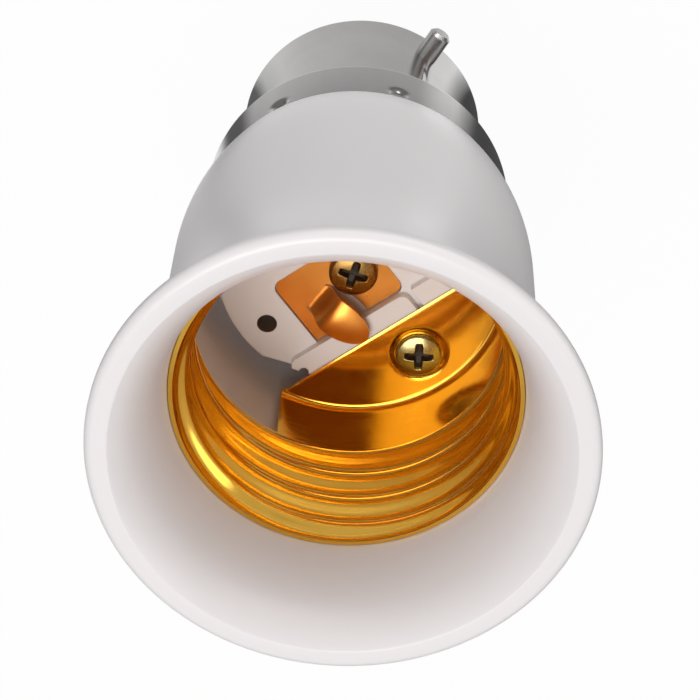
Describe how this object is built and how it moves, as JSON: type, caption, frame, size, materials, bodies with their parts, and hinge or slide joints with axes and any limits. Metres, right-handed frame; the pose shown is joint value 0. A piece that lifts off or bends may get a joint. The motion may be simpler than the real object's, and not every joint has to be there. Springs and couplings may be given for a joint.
{
  "type": "lamp socket adapter",
  "caption": "White flared lamp socket adapter with a brass Edison screw shell and spring contact in the bell and a two-pin bayonet cap below.",
  "frame": {"origin": "centre of the bounding box at its bottom, level with the faces of the two end contacts", "axes": "+Z along the lamp axis from the bayonet cap to the mouth of the bell; X along the straight edge of the shell's end plate; +Y from the axis to the shell's screw"},
  "size_m": [0.0382, 0.0382, 0.0581],
  "materials": {
    "white_body": "moulded, satin gloss",
    "white_block": "moulded, satin",
    "shell_brass": "rolled bright sheet",
    "contact_copper": "copper strip, lightly tarnished",
    "bronze_screw": "darkened plating",
    "yellow_screw": "yellow zinc plating",
    "terminal_brass": "turned",
    "cap_nickel": "drawn, satin nickel plating",
    "pin_nickel": "nickel plating",
    "insulator_plastic": "moulded, matt",
    "end_contact_metal": "tinned brass",
    "lead_sleeve": "insulated wire"
  },
  "bodies": {
    "root": {"outer_body": "white_body", "contact_block": "white_block", "screw_shell": "shell_brass", "centre_contact": "contact_copper", "contact_screw": "bronze_screw", "shell_screw": "yellow_screw", "contact_terminal": "terminal_brass", "shell_terminal": "terminal_brass", "bayonet_cap": "cap_nickel", "bayonet_pin_a": "pin_nickel", "bayonet_pin_b": "pin_nickel", "cap_insulator": "insulator_plastic", "end_contact_a": "end_contact_metal", "end_contact_b": "end_contact_metal", "lead_wire_centre": "lead_sleeve", "lead_wire_shell": "lead_sleeve"}
  },
  "joints": []
}
